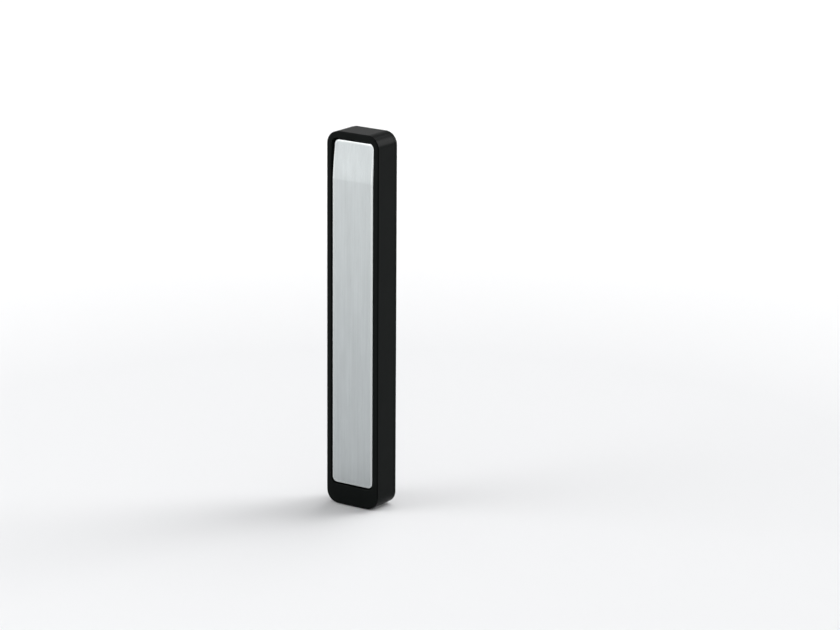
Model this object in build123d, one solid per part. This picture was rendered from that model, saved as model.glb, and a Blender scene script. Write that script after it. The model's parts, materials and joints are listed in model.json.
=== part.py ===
from build123d import *
import os
from math import acos, ceil, cos, degrees, hypot, pi, radians, sin, sqrt, tan

# Handle of a sliding window, made to be bolted to the face of the sash.
# All sizes are millimetres. Z is up and X is to the right of someone who faces
# the handle. The origin is the middle of the rear face, and the handle stands
# out from it towards -Y. A depth is the distance from that rear face.

# Housing
height = 230.0
width = 37.0
depth = 20.5
corner_radius = 8.0
side_wall = 3.0
top_wall = 4.0
chin_height = 12.3
chin_wall = 3.0
chin_partition = 2.0
opening_radius = 4.2
front_round = 0.5
line_setback = 0.5
line_width = 0.9
line_depth = 0.7
rim_round = 0.3
seam_chamfer = 0.3

# Base plate and gasket
gasket_thickness = 0.6
gasket_inset = 1.2
base_thickness = 2.2
base_inset = 0.15

# Face of the lever
face_recess = 0.4
face_thickness = 2.5
face_gap = 0.5
face_top_gap = 0.9
face_top_radius = 3.0
face_bottom_radius = 3.6
face_round = 1.0
bend_length = 24.1
bend_break = 2.5
bend_radius = 240.0

# Pivot
pivot_drop = 15.9
hub_radius = 3.4
pin_radius = 2.0
bush_wall = 0.97
bush_length = 2.0
opening_angle = 40.0

# Arm of the lever
web_thickness = 2.0
arm_depth = 6.0
arm_side_gap = 3.0
arm_rim = 1.6
arm_over_pivot = 9.0
arm_taper_length = 48.0
arm_tip_width = 17.0
arm_tip_gap = 14.0
arm_tip_corner = 5.0
channel_end_gap = 1.0
cross_rib = 1.4
cross_rib_count = 7
cross_rib_relief = 1.0
stud_radius = 1.5
stud_length = 4.8
nut_size = 5.5
nut_height = 2.4

# Toothed sector and rack
tooth_module = 1.0
pressure_angle = 20.0
backlash = 0.12
flank_steps = 4
sector_width = 8.0
sector_margin = 20.0
sector_fillet_margin = 15.0
rack_width = 10.0
rack_run_out = 5.5

# Slide
slide_width = 12.0
slide_thickness = 1.5
slide_length = 76.0
slide_above_pivot = 11.8
slide_corner = 1.5
tab_height = 6.6
tab_width = 8.0
drive_pin_radius = 3.0
drive_pin_shoulder = 1.0
drive_tip_radius = 2.5
drive_tip_length = 11.0
drive_pin_head_radius = 4.0
drive_pin_head_height = 1.5
drive_pin_drop = 38.2
pin_chamfer = 0.6

# Straps over the slide
keeper_thickness = 1.0
keeper_length = 8.0
keeper_foot = 5.8
keeper_drops = (26.2, 54.2)
keeper_screw_radius = 1.25
keeper_screw_head = 2.2
keeper_screw_head_height = 1.3

# Return spring
spring_length = 29.0
spring_turns = 7
wire_radius = 0.35
wire_flats = 6
spring_radius = 2.45
rod_radius = 1.5
rod_head_radius = 2.4
rod_head_height = 1.0
seat_thickness = 4.0
seat_width = 8.0
seat_height = 7.4
cup_thickness = 1.0

# Screws and bosses
sash_bolt_core_radius = 1.65
sash_boss_radius = 4.0
sash_boss_height = 5.2
sash_boss_end_distance = 35.0
frame_screw_radius = 1.5
frame_screw_head = 2.8
frame_screw_length = 8.0
frame_boss_radius = 3.0
frame_boss_height = 7.2
frame_boss_drop = 40.2
chin_screw_offset = 9.0
socket_radius = 0.95
socket_depth = 0.8

# Stops and ribs
stop_post_radius = 2.5
stop_cap_wall = 1.0
stop_cap_end = 1.6
stop_offset = 9.0
stop_end_distance = 6.2
opening_buffer_height = 1.7
opening_buffer_width = 24.0
opening_buffer_length = 4.0
opening_buffer_corner = 0.9
base_rib_width = 1.5
base_rib_height = 1.6
base_rib_offset = 5.0
base_rib_length = 56.0

# Clearances
running_fit = 0.03
thread_fit = 0.05
slide_play = 0.15
hub_end_gap = 0.3
post_gap = 0.05
boss_wall_gap = 1.0
opening_buffer_gap = 0.4
frame_boss_gap = 0.2
contact_gap = 0.1
hole_play = 0.2
boss_screw_gap = 0.5

# Levels that follow from the sizes above
top = height / 2
bottom = -height / 2
base_front = gasket_thickness + base_thickness
cavity_top = top - top_wall
cavity_bottom = bottom + chin_height
cavity_half = width / 2 - side_wall
face_half = cavity_half - face_gap
face_top = cavity_top - face_top_gap
face_bottom = cavity_bottom + face_gap
face_front = depth - face_recess
face_back = face_front - face_thickness
crease = face_top - bend_length
web_back = face_back - web_thickness
arm_back = face_back - arm_depth
pivot_z = face_top - pivot_drop
pivot_depth = face_back - hub_radius
bush_radius = pin_radius + running_fit + bush_wall
bush_x = cavity_half + bush_length / 2
slide_back = base_front + slide_play
slide_front = slide_back + slide_thickness
dedendum = 1.25 * tooth_module
pitch_radius = pivot_depth - slide_front - dedendum
travel = pitch_radius * radians(opening_angle)
slide_top = pivot_z + slide_above_pivot
slide_bottom = slide_top - slide_length
drive_pin_z = pivot_z - drive_pin_drop
keeper_under = slide_front + slide_play
keeper_top = keeper_under + keeper_thickness
keeper_inner = slide_width / 2 + slide_play
keeper_outer = keeper_inner + keeper_thickness
keeper_screw_x = keeper_outer + (keeper_foot - keeper_thickness) / 2
spring_top = slide_bottom - cup_thickness
spring_foot = spring_top - spring_length
spring_depth = slide_front + wire_radius + spring_radius - slide_thickness / 2
sash_bolt_x = cavity_half - sash_boss_radius - boss_wall_gap
sash_bolt_z = top - sash_boss_end_distance
frame_screw_x = cavity_half - frame_boss_radius - frame_boss_gap
frame_screw_z = pivot_z - frame_boss_drop
frame_screw_neck = gasket_thickness + frame_screw_head - frame_screw_radius
frame_screw_end = gasket_thickness + frame_screw_length
chin_core = chin_height - chin_wall - chin_partition
chin_middle = bottom + chin_wall + chin_core / 2
stop_z = face_bottom + stop_end_distance
stop_cap_front = face_back - contact_gap
stop_post_front = stop_cap_front - stop_cap_end
arm_bottom = face_bottom + arm_tip_gap
channel_top = pivot_z - hub_radius - channel_end_gap
rib_bay = (channel_top - arm_bottom) / (cross_rib_count + 1)


def prism(sketch, start, stop):
    """Solid between two depths, from an outline drawn on the rear face."""
    return extrude(Plane.XZ.offset(start) * sketch, amount=stop - start)


def post(x, z, radius, start, stop):
    """Round post along the depth."""
    return prism(Pos(x, z) * Circle(radius), start, stop)


def block(x, z, size_x, size_z, start, stop):
    """Rectangular block between two depths."""
    return prism(Pos(x, z) * Rectangle(size_x, size_z), start, stop)


def cone(x, z, radius_start, radius_stop, start, stop):
    """Cone along the depth."""
    return loft(
        Sketch()
        + [
            Plane.XZ.offset(start) * (Pos(x, z) * Circle(radius_start)),
            Plane.XZ.offset(stop) * (Pos(x, z) * Circle(radius_stop)),
        ]
    )


def across(sketch, half_width, middle=0.0):
    """Solid across the handle, from a side view drawn with Y and Z."""
    return extrude(Plane.YZ.offset(middle) * sketch, amount=half_width, both=True)


def bar(radius, half_width, middle, z, at_depth):
    """Round bar along X."""
    return across(Pos(-at_depth, z) * Circle(radius), half_width, middle)


def rod(radius, z_low, z_high, at_depth):
    """Round bar along Z."""
    return extrude(Plane.XY.offset(z_low) * (Pos(0, -at_depth) * Circle(radius)), amount=z_high - z_low)


def rounded_panel(half_width, z_low, z_high, bottom_radius, top_radius):
    """Upright panel outline with its own radius at each end."""
    panel = Pos(0, (z_low + z_high) / 2) * Rectangle(2 * half_width, z_high - z_low)
    panel = fillet(panel.vertices().group_by(Axis.Y)[0], bottom_radius)
    return fillet(panel.vertices().group_by(Axis.Y)[-1], top_radius)


def face_arc_centre():
    """Depth and height of the centre of the bent end's arc."""
    turn = radians(bend_break)
    return face_front - bend_radius * cos(turn), crease - bend_radius * sin(turn)


def face_layer(under, deeper, z_low, z_high):
    """Side view of the layer between two distances behind the lever's front surface."""
    centre_depth, centre_z = face_arc_centre()

    def arc_point(distance, z):
        reach = bend_radius - distance
        return -(centre_depth + sqrt(reach**2 - (z - centre_z) ** 2)), z

    def bend_start(distance):
        reach = bend_radius - distance
        flat = face_front - distance - centre_depth
        return centre_z + sqrt(reach**2 - flat**2)

    def side(distance):
        start = bend_start(distance)
        corner = (-(face_front - distance), start)
        low = (-(face_front - distance), z_low)
        if z_high <= start:
            high = (-(face_front - distance), z_high)
            return low, high, [Line(low, high)]
        middle = arc_point(distance, (start + z_high) / 2)
        high = arc_point(distance, z_high)
        return low, high, [Line(low, corner), ThreePointArc(corner, middle, high)]

    front_low, front_high, front_lines = side(under)
    back_low, back_high, back_lines = side(deeper)
    ends = [Line(front_low, back_low), Line(front_high, back_high)]
    return make_face(front_lines + back_lines + ends)


def countersunk_screw(x, z):
    """Countersunk socket screw, put in from the rear."""
    screw = cone(x, z, frame_screw_head, frame_screw_radius, gasket_thickness, frame_screw_neck)
    screw += post(x, z, frame_screw_radius, frame_screw_neck, frame_screw_end)
    socket_end = gasket_thickness + socket_depth
    return screw - prism(Pos(x, z) * RegularPolygon(socket_radius, 6), gasket_thickness, socket_end)


def frame_screw_places():
    """Two screws at the side bosses and two in the chin."""
    return [
        (-frame_screw_x, frame_screw_z),
        (frame_screw_x, frame_screw_z),
        (-chin_screw_offset, chin_middle),
        (chin_screw_offset, chin_middle),
    ]


def sash_bolt_places():
    return [(x, z) for x in (-sash_bolt_x, sash_bolt_x) for z in (-sash_bolt_z, sash_bolt_z)]


def housing_frame():
    """Cast frame: an open ring with a hollow chin, screw bosses and bearing seats."""
    frame = prism(RectangleRounded(width, height, corner_radius), base_front, depth)
    frame = fillet(frame.faces().sort_by(Axis.Y)[0].edges(), front_round)
    frame = chamfer(frame.faces().sort_by(Axis.Y)[-1].edges(), seam_chamfer)
    frame -= shadow_line()
    opening = rounded_panel(cavity_half, cavity_bottom, cavity_top, opening_radius, opening_radius)
    frame -= prism(opening, base_front, depth)
    rim = frame.faces().sort_by(Axis.Y)[0].inner_wires()[0].edges()
    frame = fillet(rim, rim_round)
    core_half = chin_screw_offset - frame_boss_radius - boss_screw_gap
    frame -= block(0, chin_middle, 2 * core_half, chin_core, base_front, depth - side_wall)
    for side in (-1, 1):
        x = side * frame_screw_x
        boss_front = base_front + frame_boss_height
        reach = cavity_half + side_wall / 2 - frame_screw_x
        bridge = x + side * reach / 2
        frame += post(x, frame_screw_z, frame_boss_radius, base_front, boss_front)
        frame += block(bridge, frame_screw_z, reach, 2 * frame_boss_radius, base_front, boss_front)
        frame -= block(side * bush_x, pivot_z, bush_length, 2 * bush_radius, base_front, pivot_depth)
        frame -= bar(bush_radius, bush_length / 2, side * bush_x, pivot_z, pivot_depth)
    for x, z in frame_screw_places():
        frame -= post(x, z, frame_screw_radius + thread_fit, base_front, frame_screw_end + boss_screw_gap)
    return frame


def shadow_line():
    """Ring that cuts the fine groove all round the frame, just behind its front edge."""
    core = RectangleRounded(width - 2 * line_depth, height - 2 * line_depth, corner_radius - line_depth)
    ring = Rectangle(width + line_depth, height + line_depth) - core
    return prism(ring, depth - line_setback - line_width, depth - line_setback)


def base_plate():
    """Cast plate with bearing posts, threaded bosses, spring seat, stops and ribs."""
    outline = RectangleRounded(width - 2 * base_inset, height - 2 * base_inset, corner_radius - base_inset)
    plate = prism(outline, gasket_thickness, base_front)
    plate = chamfer(plate.faces().sort_by(Axis.Y)[0].edges(), seam_chamfer)
    for side in (-1, 1):
        post_width = bush_length - 2 * post_gap
        post_front = pivot_depth - bush_radius / 2
        bearing_post = block(
            side * bush_x, pivot_z, post_width, 2 * (bush_radius - post_gap), base_front, post_front
        )
        plate += bearing_post - bar(bush_radius, bush_length, side * bush_x, pivot_z, pivot_depth)
        plate += post(side * stop_offset, stop_z, stop_post_radius, base_front, stop_post_front)
        rib_middle = (spring_foot - sash_bolt_z) / 2
        rib_front = base_front + base_rib_height
        plate += block(
            side * base_rib_offset, rib_middle, base_rib_width, base_rib_length, base_front, rib_front
        )
    for x, z in sash_bolt_places():
        plate += post(x, z, sash_boss_radius, base_front, base_front + sash_boss_height)
        plate -= post(x, z, sash_bolt_core_radius, gasket_thickness, base_front + sash_boss_height)
    seat_middle = spring_foot - seat_thickness / 2
    plate += block(0, seat_middle, seat_width, seat_thickness, base_front, base_front + seat_height)
    plate -= rod(rod_radius + thread_fit, spring_foot - seat_thickness, spring_foot, spring_depth)
    plate -= prism(drive_pin_slot(hole_play), gasket_thickness, base_front)
    head_hole = frame_screw_head + contact_gap
    shank_hole = frame_screw_radius + contact_gap
    for x, z in frame_screw_places():
        plate -= post(x, z, shank_hole, gasket_thickness, base_front)
        plate -= cone(x, z, head_hole, shank_hole, gasket_thickness, frame_screw_neck)
    for x, z in keeper_screw_places():
        plate -= post(x, z, keeper_screw_radius + thread_fit, gasket_thickness, base_front)
    return plate


def drive_pin_slot(play):
    """Slot that the drive pin slides along, with room all round it."""
    slot_width = 2 * (drive_pin_radius + play)
    return Pos(0, drive_pin_z - travel / 2) * Rot(0, 0, 90) * SlotOverall(travel + slot_width, slot_width)


def rear_gasket():
    """Thin rubber sheet with cut-outs for the bolts, the screws and the drive pin."""
    sheet = RectangleRounded(
        width - 2 * gasket_inset, height - 2 * gasket_inset, corner_radius - gasket_inset
    )
    for x, z in sash_bolt_places():
        sheet -= Pos(x, z) * Circle(sash_bolt_core_radius + boss_screw_gap)
    for x, z in frame_screw_places():
        sheet -= Pos(x, z) * Circle(frame_screw_head + contact_gap)
    return prism(sheet - drive_pin_slot(2 * hole_play), 0, gasket_thickness)


def lever_plate():
    """Face of the lever: a flat strip whose top end is bent inwards."""
    outline = rounded_panel(face_half, face_bottom, face_top, face_bottom_radius, face_top_radius)
    plate = prism(outline, 0, depth) & across(face_layer(0, face_thickness, face_bottom, face_top), face_half)
    return fillet([edge for edge in plate.edges() if on_front(edge) and not on_crease(edge)], face_round)


def on_front(edge):
    """True for an edge that lies in the lever's front surface."""
    point = edge @ 0.5
    behind = face_front + point.Y
    if point.Z > crease:
        centre_depth, centre_z = face_arc_centre()
        behind = bend_radius - hypot(-point.Y - centre_depth, point.Z - centre_z)
    return behind < contact_gap


def on_crease(edge):
    """True for the line across the plate where its bend starts."""
    return all(abs(end.Z - crease) < contact_gap for end in (edge @ 0, edge @ 1))


def tooth_half_angle(radius, base_radius):
    """Half the angle that a sector tooth takes up at a radius."""
    pressure = radians(pressure_angle)
    at_pitch = (pi * tooth_module - backlash) / (4 * pitch_radius)
    here = acos(min(1.0, base_radius / radius))
    return at_pitch + (tan(pressure) - pressure) - (tan(here) - here)


def sector_tooth(angle):
    """One involute tooth, drawn round the pivot; the angle runs from the rack towards the top."""
    base_radius = pitch_radius * cos(radians(pressure_angle))
    root_radius = pitch_radius - dedendum
    tip_radius = pitch_radius + tooth_module
    start_radius = max(base_radius, root_radius)
    radii = [start_radius + (tip_radius - start_radius) * i / flank_steps for i in range(flank_steps + 1)]

    def place(radius, turn):
        return radius * cos(radians(angle) + turn), radius * sin(radians(angle) + turn)

    low = [place(radius, -tooth_half_angle(radius, base_radius)) for radius in radii]
    high = [place(radius, tooth_half_angle(radius, base_radius)) for radius in reversed(radii)]
    foot = tooth_half_angle(start_radius, base_radius)
    sunk = root_radius - tooth_module / 2
    return make_face(
        [
            Line(place(sunk, -foot), low[0]),
            Spline(*low),
            Line(low[-1], high[0]),
            Spline(*high),
            Line(high[-1], place(sunk, foot)),
            Line(place(sunk, foot), place(sunk, -foot)),
        ]
    )


def sector_profile():
    """Side view of the toothed sector, round the pivot, with the teeth that the swing uses."""
    tooth_turn = degrees(pi * tooth_module / pitch_radius)
    first = -ceil(sector_margin / tooth_turn)
    last = ceil((opening_angle + sector_margin) / tooth_turn)
    low = radians((first - 0.5) * tooth_turn - sector_fillet_margin)
    high = radians((last + 0.5) * tooth_turn + sector_fillet_margin)
    root_radius = pitch_radius - dedendum
    middle = (low + high) / 2
    start = (root_radius * cos(low), root_radius * sin(low))
    crown = (root_radius * cos(middle), root_radius * sin(middle))
    end = (root_radius * cos(high), root_radius * sin(high))
    profile = make_face([Line((0, 0), start), ThreePointArc(start, crown, end), Line(end, (0, 0))])
    for index in range(first, last + 1):
        profile += sector_tooth(index * tooth_turn)
    return profile


def lever_arm():
    """Cast channel behind the face, with cross ribs, the hub and the toothed sector."""
    arm_half = face_half - arm_side_gap
    arm_top = pivot_z + arm_over_pivot
    taper_top = arm_bottom + arm_taper_length
    tip = arm_tip_width / 2
    outline = make_face(
        Polyline(
            (-arm_half, arm_top),
            (-arm_half, taper_top),
            (-tip, arm_bottom),
            (tip, arm_bottom),
            (arm_half, taper_top),
            (arm_half, arm_top),
            close=True,
        )
    )
    outline = fillet(outline.vertices().group_by(Axis.Y)[0], arm_tip_corner)
    outline = fillet(outline.vertices().group_by(Axis.Y)[-1], face_top_radius)
    inner = offset(outline, -arm_rim, kind=Kind.INTERSECTION)
    inner &= Pos(0, (arm_bottom + channel_top) / 2) * Rectangle(width, channel_top - arm_bottom)
    layer = across(face_layer(face_thickness, face_thickness + web_thickness, arm_bottom, arm_top), arm_half)
    layer += across(face_layer(face_thickness, face_thickness + arm_depth, arm_bottom, pivot_z), arm_half)
    arm = prism(outline, 0, depth) & layer
    arm -= prism(inner, 0, web_back)
    ribs = Part()
    for index in range(cross_rib_count):
        z = arm_bottom + (index + 1) * rib_bay
        ribs += block(0, z, 2 * arm_half, cross_rib, arm_back + cross_rib_relief, web_back)
    arm += ribs & prism(outline, 0, depth)
    hub = bar(hub_radius, cavity_half - hub_end_gap, 0, pivot_z, pivot_depth)
    front_room = across(face_layer(-depth, face_thickness, face_bottom, top), width)
    arm += hub - front_room
    sector = across(Pos(-pivot_depth, pivot_z) * sector_profile(), sector_width / 2)
    arm += sector - front_room
    arm -= bar(pin_radius, width, 0, pivot_z, pivot_depth)
    for z in stud_places():
        arm -= post(0, z, stud_radius + contact_gap, arm_back, face_back)
    return arm


def stud_places():
    """Heights of the studs, each in the middle of a bay between two cross ribs."""
    return [arm_bottom + (index + 0.5) * rib_bay for index in range(0, cross_rib_count + 1, 2)]


def face_studs():
    """Studs welded to the back of the face."""
    return [post(0, z, stud_radius, face_back - stud_length, face_back) for z in stud_places()]


def stud_nuts():
    """Hexagon nuts on the studs."""
    nuts = []
    nut_back = web_back - nut_height
    for z in stud_places():
        nut = prism(Pos(0, z) * RegularPolygon(nut_size / 2, 6, major_radius=False), nut_back, web_back)
        nuts.append(nut - post(0, z, stud_radius + thread_fit, nut_back, web_back))
    return nuts


def pivot_pin():
    """Axle pressed into the hub; its ends turn in the bushes."""
    half = cavity_half + bush_length - hole_play
    pin = bar(pin_radius, half, 0, pivot_z, pivot_depth)
    ends = pin.edges().filter_by(GeomType.CIRCLE)
    return chamfer(ends, pin_chamfer / 2)


def pivot_bush(side):
    """Plain bearing bush in the wall of the frame."""
    outside = bar(bush_radius, bush_length / 2, side * bush_x, pivot_z, pivot_depth)
    return outside - bar(pin_radius + running_fit, bush_length, side * bush_x, pivot_z, pivot_depth)


def rack_profile():
    """Side view of the rack teeth, along the slide's front surface."""
    pitch = pi * tooth_module
    slope = tan(radians(pressure_angle))
    half = (pitch - backlash) / 4
    half_root = half + dedendum * slope
    half_tip = half - tooth_module * slope
    reach = tooth_module + dedendum
    low_count = ceil(rack_run_out / pitch)
    high_count = int((slide_above_pivot - half_root) / pitch - 0.5)
    teeth = Sketch()
    for index in range(-low_count, high_count + 1):
        z = pivot_z + (index + 0.5) * pitch
        teeth += make_face(
            Polyline(
                (-slide_front + contact_gap, z - half_root),
                (-slide_front, z - half_root),
                (-slide_front - reach, z - half_tip),
                (-slide_front - reach, z + half_tip),
                (-slide_front, z + half_root),
                (-slide_front + contact_gap, z + half_root),
                close=True,
            )
        )
    return teeth


def rack_slide():
    """Steel strip with rack teeth at its top and a folded tab for the spring at its foot."""
    middle = (slide_top + slide_bottom) / 2
    strip = prism(
        Pos(0, middle) * RectangleRounded(slide_width, slide_length, slide_corner), slide_back, slide_front
    )
    strip += across(rack_profile(), rack_width / 2)
    strip += block(
        0,
        slide_bottom + slide_thickness / 2,
        tab_width,
        slide_thickness,
        slide_back,
        slide_front + tab_height - slide_thickness,
    )
    strip -= rod(rod_radius + hole_play, slide_bottom, slide_bottom + slide_thickness, spring_depth)
    strip -= post(0, drive_pin_z, drive_pin_radius, slide_back, slide_front)
    return strip


def drive_pin():
    """Headed pin in the slide that reaches back through the base into the sash."""
    shoulder = -drive_pin_shoulder
    tip = post(0, drive_pin_z, drive_tip_radius, shoulder - drive_tip_length, shoulder)
    pin = chamfer(tip.faces().sort_by(Axis.Y)[-1].edges(), pin_chamfer)
    pin += post(0, drive_pin_z, drive_pin_radius, shoulder, slide_front)
    head = post(0, drive_pin_z, drive_pin_head_radius, slide_front, slide_front + drive_pin_head_height)
    return pin + chamfer(head.faces().sort_by(Axis.Y)[0].edges(), pin_chamfer / 2)


def keeper_screw_places():
    return [(side * keeper_screw_x, pivot_z - drop) for drop in keeper_drops for side in (-1, 1)]


def slide_keeper(drop):
    """Folded strap over the slide with a foot on each side."""
    outer = keeper_outer
    foot_end = keeper_inner + keeper_foot
    foot_top = base_front + keeper_thickness
    points = [
        (-foot_end, base_front),
        (-keeper_inner, base_front),
        (-keeper_inner, keeper_under),
        (keeper_inner, keeper_under),
        (keeper_inner, base_front),
        (foot_end, base_front),
        (foot_end, foot_top),
        (outer, foot_top),
        (outer, keeper_top),
        (-outer, keeper_top),
        (-outer, foot_top),
        (-foot_end, foot_top),
    ]
    profile = make_face(Polyline(*[(x, -at) for x, at in points], close=True))
    strap = extrude(Plane.XY.offset(pivot_z - drop) * profile, amount=keeper_length / 2, both=True)
    for x, z in keeper_screw_places():
        if abs(z - pivot_z + drop) < keeper_length / 2:
            strap -= post(x, z, keeper_screw_radius + thread_fit, base_front, foot_top)
    return strap


def keeper_screws():
    """Pan head screws of the straps."""
    screws = []
    head_start = base_front + keeper_thickness
    for x, z in keeper_screw_places():
        screw = post(x, z, keeper_screw_radius, gasket_thickness + contact_gap, head_start)
        head = post(x, z, keeper_screw_head, head_start, head_start + keeper_screw_head_height)
        head = chamfer(head.faces().sort_by(Axis.Y)[0].edges(), rim_round)
        socket = prism(
            Pos(x, z) * RegularPolygon(socket_radius, 6),
            head_start + keeper_screw_head_height - socket_depth,
            head_start + keeper_screw_head_height,
        )
        screws.append(screw + head - socket)
    return screws


def spring_rod():
    """Headed rod that carries the spring and runs through the slide's tab."""
    low = spring_foot - seat_thickness
    shank = rod(rod_radius, low, slide_bottom + 2 * slide_thickness, spring_depth)
    return shank + rod(rod_head_radius, low - rod_head_height, low, spring_depth)


def return_spring():
    """Compression spring between the seat and the cup; flats stand for the wire's round section."""
    rise = spring_length - 2 * wire_radius
    path = Helix(rise / spring_turns, rise, spring_radius)
    section = Plane(origin=path @ 0, z_dir=path % 0) * RegularPolygon(wire_radius, wire_flats)
    wire = sweep(section, path=path, is_frenet=True)
    return Pos(0, -spring_depth, spring_foot + wire_radius) * wire


def spring_cup():
    """Plastic thrust cup between the spring and the slide's tab."""
    cup = rod(spring_radius + wire_radius, spring_top, slide_bottom, spring_depth)
    return cup - rod(rod_radius + hole_play, spring_top, slide_bottom, spring_depth)


def opening_buffer():
    """Rubber pad that the bent end of the lever meets when it is fully open."""
    z = slide_top + opening_buffer_gap + opening_buffer_length / 2
    pad = Pos(0, z) * RectangleRounded(opening_buffer_width, opening_buffer_length, opening_buffer_corner)
    return prism(pad, base_front, base_front + opening_buffer_height)


def closing_buffers():
    """Rubber caps on the two posts that the closed lever rests against."""
    caps = []
    cap_back = stop_post_front - stop_cap_end
    for side in (-1, 1):
        x = side * stop_offset
        cap = post(x, stop_z, stop_post_radius + stop_cap_wall, cap_back, stop_cap_front)
        cap = chamfer(cap.faces().sort_by(Axis.Y)[0].edges(), rim_round)
        caps.append(cap - post(x, stop_z, stop_post_radius, cap_back, stop_post_front))
    return caps


def save(name, solids):
    """Writes one sub-part, which is a solid or a list of like solids."""
    if isinstance(solids, list):
        solids = Compound(children=[part for solid in solids for part in solid.solids()])
    export_step(solids, f"parts/{name}.step")


os.makedirs("parts", exist_ok=True)
save("housing_frame", housing_frame())
save("base_plate", base_plate())
save("rear_gasket", rear_gasket())
save("lever_plate", lever_plate())
save("lever_arm", lever_arm())
save("face_studs", face_studs())
save("stud_nuts", stud_nuts())
save("pivot_pin", pivot_pin())
save("pivot_bush_left", pivot_bush(-1))
save("pivot_bush_right", pivot_bush(1))
save("rack_slide", rack_slide())
save("drive_pin", drive_pin())
save("slide_keeper_upper", slide_keeper(keeper_drops[0]))
save("slide_keeper_lower", slide_keeper(keeper_drops[1]))
save("keeper_screws", keeper_screws())
save("spring_rod", spring_rod())
save("return_spring", return_spring())
save("spring_cup", spring_cup())
save("opening_buffer", opening_buffer())
save("closing_buffers", closing_buffers())
save("frame_screws", [countersunk_screw(x, z) for x, z in frame_screw_places()])
print(f"Lever axis at depth {pivot_depth:.3f} and height {pivot_z:.3f}")
print(f"Slide travel {travel:.3f} over {opening_angle:.0f} degrees, pitch radius {pitch_radius:.3f}")
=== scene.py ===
import json
from math import cos, pi, radians, sin

import bmesh
import bpy
from mathutils import Matrix, Vector


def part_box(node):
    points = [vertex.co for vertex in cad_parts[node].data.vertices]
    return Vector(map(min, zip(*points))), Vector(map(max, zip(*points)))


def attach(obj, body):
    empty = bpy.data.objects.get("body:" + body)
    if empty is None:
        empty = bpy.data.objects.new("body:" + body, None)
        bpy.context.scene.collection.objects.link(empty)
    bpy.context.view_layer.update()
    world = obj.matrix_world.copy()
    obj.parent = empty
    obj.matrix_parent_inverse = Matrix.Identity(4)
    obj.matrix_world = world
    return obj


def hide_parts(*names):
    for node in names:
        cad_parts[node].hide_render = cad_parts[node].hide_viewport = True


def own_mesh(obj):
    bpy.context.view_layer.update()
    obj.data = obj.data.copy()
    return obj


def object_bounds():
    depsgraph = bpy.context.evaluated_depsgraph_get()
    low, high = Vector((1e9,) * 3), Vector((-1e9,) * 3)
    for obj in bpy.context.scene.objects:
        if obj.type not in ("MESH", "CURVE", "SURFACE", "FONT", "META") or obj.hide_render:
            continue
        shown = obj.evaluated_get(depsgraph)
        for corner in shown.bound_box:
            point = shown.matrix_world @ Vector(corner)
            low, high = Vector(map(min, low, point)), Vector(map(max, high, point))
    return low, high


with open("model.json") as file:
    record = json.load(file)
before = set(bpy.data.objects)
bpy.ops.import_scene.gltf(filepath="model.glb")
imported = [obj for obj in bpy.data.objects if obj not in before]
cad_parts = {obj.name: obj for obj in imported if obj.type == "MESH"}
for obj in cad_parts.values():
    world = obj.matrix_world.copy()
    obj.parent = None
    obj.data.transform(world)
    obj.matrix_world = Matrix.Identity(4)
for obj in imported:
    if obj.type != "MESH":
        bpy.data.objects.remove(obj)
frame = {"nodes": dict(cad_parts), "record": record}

cad_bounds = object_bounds()

# Slim window handle. Lengths are in metres, angles in degrees, and a noise scale is in waves a metre
MM = 0.001

# Camera: where it stands round the handle, and the photograph's frame that it fills
PHOTO_WIDTH = 840
PHOTO_HEIGHT = 630
CAMERA_AZIMUTH = 35.96
CAMERA_ELEVATION = 15.07
CAMERA_ROLL = 0.13
CAMERA_DISTANCE = 2.294
CAMERA_NEAREST = 0.05
FOCAL_PIXELS = 3835
TARGET_PIXEL = (361.9, 318.7)
SENSOR_WIDTH = 36.0

# Plain tone of each finish, and the darkest and lightest that its unevenness shows. A steel's
# darkest is a share of its tone, and its marks make it a little smoother and rougher
COATING = (0.006, 0.0072, 0.0068)
COATING_DARK = (0.0055, 0.0067, 0.0063)
COATING_LIGHT = (0.0065, 0.0077, 0.0073)
CASTING = (0.15, 0.15, 0.155)
CASTING_DARK = (0.135, 0.135, 0.14)
CASTING_LIGHT = (0.165, 0.165, 0.17)
ALUMINIUM = (0.5, 0.53, 0.536)
ALUMINIUM_DARK = (0.452, 0.479, 0.485)
ALUMINIUM_LIGHT = (0.548, 0.581, 0.587)
# Painted highlight: lighter colour for the rim of the lever's face
ALUMINIUM_PAINTED_RIM_HIGHLIGHT = (0.58, 0.605, 0.605)
RUBBER = (0.012, 0.012, 0.012)
RUBBER_DARK = (0.009, 0.009, 0.009)
RUBBER_LIGHT = (0.017, 0.017, 0.017)
ACETAL = (0.6, 0.58, 0.52)
ACETAL_DARK = (0.56, 0.54, 0.48)
ACETAL_LIGHT = (0.62, 0.6, 0.54)
BRIGHT_STEEL = (0.6, 0.6, 0.61)
PLATED_STEEL = (0.5, 0.5, 0.5)
SPRING_STEEL = (0.42, 0.42, 0.43)
STEEL_DARKENED = 0.84
STEEL_SMOOTHED = 0.06
STEEL_ROUGHENED = 0.08

# How marks run on a surface: along an axis with a small value they are drawn out
EVEN = (1.0, 1.0, 1.0)
BRUSHED_FINE = (1.0, 1.0, 0.01)
BRUSHED_BROAD = (1.0, 1.0, 0.02)
BRUSHED_CLOUD = (1.0, 1.0, 0.3)
TURNED_ROUND_X = (1.0, 0.03, 0.03)
TURNED_ROUND_Y = (0.03, 1.0, 0.03)
TURNED_ROUND_Z = (0.03, 0.03, 1.0)
ROLLED_ALONG_Z = (1.0, 1.0, 0.04)

# A noise's roughness and the values between which it mostly lies, and how many times faster
# than its scale a wave texture runs
NOISE_ROUGHNESS = 0.55
NOISE_LOW = 0.3
NOISE_HIGH = 0.7
WAVE_PACE = 20

# The lever's face: its corner radius, and the rim along its border, which is polished smoother and
# coloured lighter as a painted highlight
FACE_CORNER = 3.3 * MM
FACE_RIM = 1.5 * MM
RIM_SOFT = 0.2 * MM
RIM_POLISH = 0.1

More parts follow.
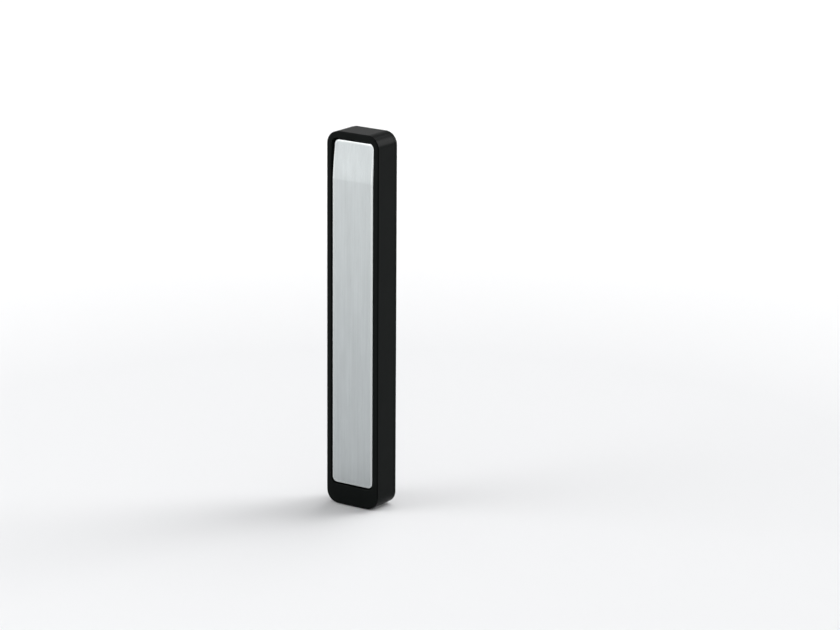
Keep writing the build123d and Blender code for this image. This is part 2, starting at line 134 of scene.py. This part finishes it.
# Thread of the studs on the back of the face
STUD_PITCH = 0.5 * MM

# Return spring, as it is wound: the turns close up at both ends, with a sliver of room between them
SPRING_WIRE = 0.35 * MM
SPRING_CLOSED_PITCH = 2.1 * SPRING_WIRE
SPRING_TURNS = 7.0
SPRING_CLOSED_TURNS = 1.0
SPRING_STEPS_PER_TURN = 48
SPRING_WIRE_SIDES = 16

# Floor: its painted shade near the handle and its plain tone farther out, and how far out the painted
# shade starts and stops fading
FLOOR_HALF = 9.0
FLOOR_GAP = 0.4 * MM
FLOOR_PAINTED_SHADE = (0.813, 0.818, 0.828)
FLOOR_FAR = (0.97, 0.97, 0.97)
FLOOR_PAINTED_SHADE_FADE = (0.34, 0.78)

# Sky. A glow is a soft bright patch of it: direction, half angles of its core and edge, gain
SKY_STRENGTH = 0.48
SKY_GLOWS = {
    "front": ((-0.56, -0.82, 0.14), 4, 13, 1.15),
    "corner": ((0.50, 0.78, 0.37), 5, 24, 4.6),
    "above": ((-0.57, -0.62, 0.50), 12, 28, 2.0),
}

# Lamps
SUN_DIRECTION = (-0.12, -0.5, -0.86)
SUN_STRENGTH = 1.25
SUN_ANGLE = 45
SOFTBOX_PLACE = (-0.62, -0.88, 0.21)
SOFTBOX_AIM = (0.0, 0.0, 0.1)
SOFTBOX_SIZE = (1.3, 0.6)
SOFTBOX_POWER = 1.05


def vec(*values):
    return Vector(values)


def node_box(name):
    """Lowest and highest corner of a CAD node."""
    low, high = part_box(name)
    return Vector(low), Vector(high)


class Surface:
    """A node material: its tree, its shader and a few helpers."""

    def __init__(self, name, colour, roughness, metallic=0.0, specular=0.5):
        self.material = bpy.data.materials.new(name)
        self.material.use_nodes = True
        self.tree = self.material.node_tree
        self.shader = self.tree.nodes["Principled BSDF"]
        self.set("Base Color", (*colour, 1.0))
        self.set("Roughness", roughness)
        self.set("Metallic", metallic)
        self.set("Specular IOR Level", specular)

    def set(self, socket, value):
        """Plain value for one of the shader's sockets."""
        self.shader.inputs[socket].default_value = value

    def feed(self, socket, source):
        """Varied value for one of the shader's sockets."""
        self.link(source, self.shader.inputs[socket])

    def link(self, source, target):
        self.tree.links.new(source, target)

    def node(self, kind, **inputs):
        """New node with plain values in its sockets."""
        made = self.tree.nodes.new(kind)
        for key, value in inputs.items():
            made.inputs[key].default_value = value
        return made

    def place(self, scale=EVEN):
        """Object coordinates, stretched along each axis by the scale."""
        coordinates = self.node("ShaderNodeTexCoord")
        mapping = self.node("ShaderNodeMapping", Scale=scale)
        self.link(coordinates.outputs["Object"], mapping.inputs["Vector"])
        return mapping.outputs["Vector"]

    def noise(self, where, scale, detail):
        made = self.node("ShaderNodeTexNoise", Scale=scale, Detail=detail, Roughness=NOISE_ROUGHNESS)
        self.link(where, made.inputs["Vector"])
        return made.outputs["Fac"]

    def spread(self, source, low=0.0, high=1.0, from_low=NOISE_LOW, from_high=NOISE_HIGH):
        """Maps a noise, or another value whose own range is given, onto a range."""
        made = self.node("ShaderNodeMapRange")
        made.inputs["From Min"].default_value = from_low
        made.inputs["From Max"].default_value = from_high
        made.inputs["To Min"].default_value = low
        made.inputs["To Max"].default_value = high
        self.link(source, made.inputs["Value"])
        return made.outputs["Result"]

    def colour_between(self, factor, dark, light):
        """Colour that varies between two tones."""
        made = self.tree.nodes.new("ShaderNodeMix")
        made.data_type = "RGBA"
        made.inputs["A"].default_value = (*dark, 1.0)
        made.inputs["B"].default_value = (*light, 1.0)
        self.link(factor, made.inputs["Factor"])
        return made.outputs["Result"]

    def colour_over(self, factor, under, tone):
        """Plain tone laid over a varied colour by a mask."""
        made = self.tree.nodes.new("ShaderNodeMix")
        made.data_type = "RGBA"
        made.inputs["B"].default_value = (*tone, 1.0)
        self.link(under, made.inputs["A"])
        self.link(factor, made.inputs["Factor"])
        return made.outputs["Result"]

    def blend(self, first, second, share):
        """Mean of two values, with the second one's share."""
        made = self.node("ShaderNodeMix", Factor=share)
        self.link(first, made.inputs["A"])
        self.link(second, made.inputs["B"])
        return made.outputs["Result"]

    def maths(self, operation, first, second=0.0):
        """Sum, product or the like of two values, each a socket or a number."""
        made = self.tree.nodes.new("ShaderNodeMath")
        made.operation = operation
        for socket, value in zip(made.inputs, (first, second)):
            if isinstance(value, float):
                socket.default_value = value
            else:
                self.link(value, socket)
        return made.outputs[0]

    def rim_mask(self, low, high, corner, rim):
        """One on a rim inside an upright rounded rectangle, and nought within the rim."""
        coordinates = self.node("ShaderNodeTexCoord")
        axes = self.node("ShaderNodeSeparateXYZ")
        self.link(coordinates.outputs["Object"], axes.inputs["Vector"])
        past_flat = []
        for index in (0, 2):
            middle = (low[index] + high[index]) / 2
            flat_half = (high[index] - low[index]) / 2 - corner
            away = self.maths("ABSOLUTE", self.maths("SUBTRACT", axes.outputs[index], middle))
            past_flat.append(self.maths("MAXIMUM", self.maths("SUBTRACT", away, flat_half)))
        squares = [self.maths("MULTIPLY", value, value) for value in past_flat]
        outward = self.maths("SQRT", self.maths("ADD", *squares))
        inner_edge = corner - rim
        return self.spread(outward, from_low=inner_edge - RIM_SOFT, from_high=inner_edge)

    def rings(self, axis, pitch):
        """Even rings round an axis, as a thread shows them."""
        wave = self.node("ShaderNodeTexWave", Scale=2 * pi / (WAVE_PACE * pitch))
        wave.bands_direction = axis
        self.link(self.place(), wave.inputs["Vector"])
        return wave.outputs["Fac"]

    def tint(self, factor, dark, light):
        """Base colour that varies between two tones."""
        self.feed("Base Color", self.colour_between(factor, dark, light))

    def bump(self, height, strength, distance):
        made = self.node("ShaderNodeBump", Strength=strength, Distance=distance)
        self.link(height, made.inputs["Height"])
        self.feed("Normal", made.outputs["Normal"])


def black_coating():
    """Satin black powder coat with a very fine grain."""
    surface = Surface("black_coating", COATING, roughness=0.2, specular=0.032)
    where = surface.place()
    grain = surface.noise(where, scale=5200.0, detail=2.0)
    cloud = surface.noise(where, scale=90.0, detail=3.0)
    surface.tint(surface.spread(cloud), COATING_DARK, COATING_LIGHT)
    surface.feed("Roughness", surface.spread(grain, low=0.17, high=0.23))
    surface.bump(grain, strength=0.12, distance=0.03 * MM)
    return surface.material


def cast_coating():
    """Plain grey coating on the lever's inner casting, a little uneven as a cast skin is."""
    surface = Surface("cast_coating", CASTING, roughness=0.5, specular=0.4)
    where = surface.place()
    grain = surface.noise(where, scale=2600.0, detail=3.0)
    cloud = surface.noise(where, scale=120.0, detail=3.0)
    surface.tint(surface.spread(cloud), CASTING_DARK, CASTING_LIGHT)
    surface.feed("Roughness", surface.spread(grain, low=0.44, high=0.56))
    surface.bump(grain, strength=0.25, distance=0.06 * MM)
    return surface.material


def brushed_aluminium():
    """Anodised aluminium brushed along the handle, with a rim all round that is polished smoother and
    coloured lighter as a painted highlight.
    """
    surface = Surface("brushed_aluminium", ALUMINIUM, roughness=0.3, metallic=1.0)
    fine = surface.noise(surface.place(BRUSHED_FINE), scale=5000.0, detail=3.0)
    broad = surface.noise(surface.place(BRUSHED_BROAD), scale=800.0, detail=2.0)
    cloud = surface.noise(surface.place(BRUSHED_CLOUD), scale=140.0, detail=2.0)
    streaks = surface.blend(surface.spread(fine), surface.spread(broad), share=0.5)
    shade = surface.blend(streaks, surface.spread(cloud), share=0.3)
    brushed = surface.colour_between(shade, ALUMINIUM_DARK, ALUMINIUM_LIGHT)
    rim = surface.rim_mask(*node_box("lever_plate"), FACE_CORNER, FACE_RIM)
    # Painted highlight: the rim is coloured lighter than the brushed face; its lower roughness is
    # real polish
    surface.feed("Base Color", surface.colour_over(rim, brushed, ALUMINIUM_PAINTED_RIM_HIGHLIGHT))
    roughness = surface.spread(fine, low=0.27, high=0.33)
    polish = surface.maths("MULTIPLY", rim, RIM_POLISH)
    surface.feed("Roughness", surface.maths("SUBTRACT", roughness, polish))
    surface.set("Anisotropic", 0.8)
    tangent = surface.node("ShaderNodeTangent")
    tangent.direction_type = "RADIAL"
    tangent.axis = "Z"
    surface.feed("Tangent", tangent.outputs["Tangent"])
    surface.bump(fine, strength=0.1, distance=0.02 * MM)
    return surface.material


def rubber():
    """Matt black rubber with a fine grain."""
    surface = Surface("black_rubber", RUBBER, roughness=0.75, specular=0.3)
    grain = surface.noise(surface.place(), scale=1800.0, detail=4.0)
    surface.tint(surface.spread(grain), RUBBER_DARK, RUBBER_LIGHT)
    surface.bump(grain, strength=0.3, distance=0.08 * MM)
    return surface.material


def steel(name, colour, roughness, along, thread=None):
    """Metal whose fine marks run as its making left them; a thread adds rings round its axis."""
    surface = Surface(name, colour, roughness, metallic=1.0)
    marks = surface.noise(surface.place(along), scale=4200.0, detail=3.0)
    cloud = surface.noise(surface.place(), scale=260.0, detail=3.0)
    dark = tuple(value * STEEL_DARKENED for value in colour)
    surface.tint(surface.spread(cloud), dark, colour)
    smoothest = roughness - STEEL_SMOOTHED
    roughest = roughness + STEEL_ROUGHENED
    surface.feed("Roughness", surface.spread(marks, low=smoothest, high=roughest))
    if thread:
        surface.bump(surface.rings(*thread), strength=0.8, distance=0.2 * MM)
    else:
        surface.bump(marks, strength=0.12, distance=0.03 * MM)
    return surface.material


def acetal():
    """Pale plastic that lets a little light in, as bearing plastics do."""
    surface = Surface("pale_plastic", ACETAL, roughness=0.45, specular=0.5)
    cloud = surface.noise(surface.place(), scale=420.0, detail=3.0)
    surface.tint(surface.spread(cloud), ACETAL_DARK, ACETAL_LIGHT)
    surface.set("Subsurface Weight", 0.08)
    surface.set("Subsurface Radius", (MM, MM, MM))
    surface.bump(cloud, strength=0.05, distance=0.05 * MM)
    return surface.material


def dress_nodes():
    """Gives every CAD node its finish and returns the finishes by material slot."""
    finishes = {
        "black_coating": black_coating(),
        "cast_grey": cast_coating(),
        "brushed_aluminium": brushed_aluminium(),
        "black_rubber": rubber(),
        "bright_steel": steel("bright_steel", BRIGHT_STEEL, 0.24, TURNED_ROUND_Y),
        "plated_steel": steel("plated_steel", PLATED_STEEL, 0.36, ROLLED_ALONG_Z),
        "spring_steel": steel("spring_steel", SPRING_STEEL, 0.28, EVEN),
        "pale_plastic": acetal(),
    }
    own_finishes = {
        "face_studs": steel("threaded_steel", BRIGHT_STEEL, 0.26, EVEN, thread=("Y", STUD_PITCH)),
        "pivot_pin": steel("pin_steel", BRIGHT_STEEL, 0.2, TURNED_ROUND_X),
        "spring_rod": steel("rod_steel", BRIGHT_STEEL, 0.22, TURNED_ROUND_Z),
    }
    for entry in frame["record"]["subparts"]:
        mesh = frame["nodes"][entry["node"]].data
        mesh.materials.clear()
        mesh.materials.append(own_finishes.get(entry["node"], finishes[entry["material_slot"]]))
    return finishes


def sweep_tube(path, radius, sides):
    """Closed round tube along points, with flat ends."""
    mesh = bmesh.new()
    rings = []
    for index, point in enumerate(path):
        before = path[max(index - 1, 0)]
        after = path[min(index + 1, len(path) - 1)]
        along = (after - before).normalized()
        outward = vec(point.x, point.y, 0.0).normalized()
        upward = along.cross(outward).normalized()
        outward = upward.cross(along)
        ring = []
        for side in range(sides):
            turn = 2 * pi * side / sides
            ring.append(mesh.verts.new(point + radius * (cos(turn) * outward + sin(turn) * upward)))
        rings.append(ring)
    for low, high in zip(rings, rings[1:]):
        for side in range(sides):
            following = (side + 1) % sides
            mesh.faces.new((low[side], low[following], high[following], high[side]))
    mesh.faces.new(rings[0])
    mesh.faces.new(list(reversed(rings[-1])))
    bmesh.ops.recalc_face_normals(mesh, faces=mesh.faces)
    for face in mesh.faces:
        face.smooth = len(face.verts) == 4
    return mesh


def spring_rise(share, free_height):
    """Height of the wire's middle after a share of its turns; the end turns lie closed."""
    turns = share * SPRING_TURNS
    closed_height = SPRING_CLOSED_TURNS * SPRING_CLOSED_PITCH
    open_turns = SPRING_TURNS - 2 * SPRING_CLOSED_TURNS
    open_height = free_height - 2 * closed_height
    if turns < SPRING_CLOSED_TURNS:
        return turns * SPRING_CLOSED_PITCH
    if turns > SPRING_TURNS - SPRING_CLOSED_TURNS:
        return free_height - (SPRING_TURNS - turns) * SPRING_CLOSED_PITCH
    return closed_height + (turns - SPRING_CLOSED_TURNS) / open_turns * open_height


def add_spring(material):
    """Round-wire compression spring in the place of the CAD one, fixed to the housing's body."""
    low, high = node_box("return_spring")
    middle = (low + high) / 2
    coil = (high.x - low.x) / 2 - SPRING_WIRE
    free_height = high.z - low.z - 2 * SPRING_WIRE
    steps = int(SPRING_TURNS * SPRING_STEPS_PER_TURN)
    path = []
    for step in range(steps + 1):
        share = step / steps
        turn = 2 * pi * SPRING_TURNS * share
        path.append(vec(coil * cos(turn), coil * sin(turn), spring_rise(share, free_height)))
    mesh = sweep_tube(path, SPRING_WIRE, SPRING_WIRE_SIDES)
    bmesh.ops.translate(mesh, verts=mesh.verts, vec=vec(middle.x, middle.y, low.z + SPRING_WIRE))
    data = bpy.data.meshes.new("wound_spring")
    mesh.to_mesh(data)
    mesh.free()
    data.materials.append(material)
    spring = bpy.data.objects.new("wound_spring", data)
    bpy.context.collection.objects.link(spring)
    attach(spring, "housing")
    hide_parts("return_spring")
    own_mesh(spring)


def add_floor():
    """Wide pale floor just under the handle, darkened near it by painted shade."""
    level = cad_bounds[0][2] - FLOOR_GAP
    half = FLOOR_HALF
    corners = [(x, y, level) for x, y in ((-half, -half), (half, -half), (half, half), (-half, half))]
    mesh = bpy.data.meshes.new("floor")
    mesh.from_pydata(corners, [], [(0, 1, 2, 3)])
    floor = bpy.data.objects.new("floor", mesh)
    bpy.context.collection.objects.link(floor)
    surface = Surface("floor", FLOOR_FAR, roughness=0.9, specular=0.0)
    distance = surface.tree.nodes.new("ShaderNodeVectorMath")
    distance.operation = "LENGTH"
    surface.link(surface.place((1.0, 1.0, 0.0)), distance.inputs[0])
    fade_start, fade_end = FLOOR_PAINTED_SHADE_FADE
    # Painted shade: the floor's colour is darker near the handle and fades to its plain tone farther
    # out
    away = surface.spread(distance.outputs["Value"], from_low=fade_start, from_high=fade_end)
    surface.tint(away, FLOOR_PAINTED_SHADE, FLOOR_FAR)
    mesh.materials.append(surface.material)


def add_sun():
    """Soft far light."""
    data = bpy.data.lights.new("sun", "SUN")
    data.energy = SUN_STRENGTH
    data.angle = radians(SUN_ANGLE)
    lamp = bpy.data.objects.new("sun", data)
    lamp.rotation_euler = Vector(SUN_DIRECTION).to_track_quat("-Z", "Y").to_euler()
    bpy.context.collection.objects.link(lamp)


def add_softbox():
    """Rectangular soft light, hidden from the camera itself."""
    data = bpy.data.lights.new("softbox", "AREA")
    data.shape = "RECTANGLE"
    data.size, data.size_y = SOFTBOX_SIZE
    data.energy = SOFTBOX_POWER
    lamp = bpy.data.objects.new("softbox", data)
    lamp.location = SOFTBOX_PLACE
    towards = Vector(SOFTBOX_AIM) - Vector(SOFTBOX_PLACE)
    lamp.rotation_euler = towards.to_track_quat("-Z", "Y").to_euler()
    lamp.visible_camera = False
    bpy.context.collection.objects.link(lamp)


def add_sky():
    """Even pale sky with a few soft glows that stand for large softboxes."""
    world = bpy.data.worlds.new("studio")
    bpy.context.scene.world = world
    world.use_nodes = True
    nodes = world.node_tree.nodes
    links = world.node_tree.links
    coordinates = nodes.new("ShaderNodeTexCoord")
    background = nodes["Background"]
    background.inputs["Color"].default_value = (1.0, 1.0, 1.0, 1.0)
    total = None
    for direction, core, edge, gain in SKY_GLOWS.values():
        towards = nodes.new("ShaderNodeVectorMath")
        towards.operation = "DOT_PRODUCT"
        towards.inputs[1].default_value = Vector(direction).normalized()
        links.new(coordinates.outputs["Generated"], towards.inputs[0])
        glow = nodes.new("ShaderNodeMapRange")
        glow.interpolation_type = "SMOOTHSTEP"
        glow.inputs["From Min"].default_value = cos(radians(edge))
        glow.inputs["From Max"].default_value = cos(radians(core))
        glow.inputs["To Max"].default_value = gain
        links.new(towards.outputs["Value"], glow.inputs["Value"])
        added = nodes.new("ShaderNodeMath")
        added.inputs[0].default_value = SKY_STRENGTH
        if total:
            links.new(total, added.inputs[0])
        links.new(glow.outputs["Result"], added.inputs[1])
        total = added.outputs[0]
    links.new(total, background.inputs["Strength"])


def add_camera():
    """Camera fitted to the photograph: it looks down at the middle of the handle."""
    azimuth = radians(CAMERA_AZIMUTH)
    elevation = radians(CAMERA_ELEVATION)
    roll = radians(CAMERA_ROLL)
    low = node_box("housing_frame")[0]
    target = vec(0.0, low.y / 2, 0.0)
    back = vec(sin(azimuth) * cos(elevation), -cos(azimuth) * cos(elevation), sin(elevation))
    right = vec(cos(azimuth), sin(azimuth), 0.0)
    up = back.cross(right)
    side = right * cos(roll) + up * sin(roll)
    top = up * cos(roll) - right * sin(roll)
    data = bpy.data.cameras.new("camera")
    camera = bpy.data.objects.new("camera", data)
    turn = Matrix((side, top, back)).transposed().to_4x4()
    camera.matrix_world = Matrix.Translation(target + back * CAMERA_DISTANCE) @ turn
    data.sensor_width = SENSOR_WIDTH
    data.lens = FOCAL_PIXELS / PHOTO_WIDTH * SENSOR_WIDTH
    data.shift_x = (PHOTO_WIDTH / 2 - TARGET_PIXEL[0]) / PHOTO_WIDTH
    data.shift_y = (TARGET_PIXEL[1] - PHOTO_HEIGHT / 2) / PHOTO_WIDTH
    data.clip_start = CAMERA_NEAREST
    bpy.context.collection.objects.link(camera)
    bpy.context.scene.camera = camera


add_camera()
finishes = dress_nodes()
add_spring(finishes["spring_steel"])
add_floor()
add_sky()
add_sun()
add_softbox()
bpy.context.scene.view_settings.view_transform = "Standard"
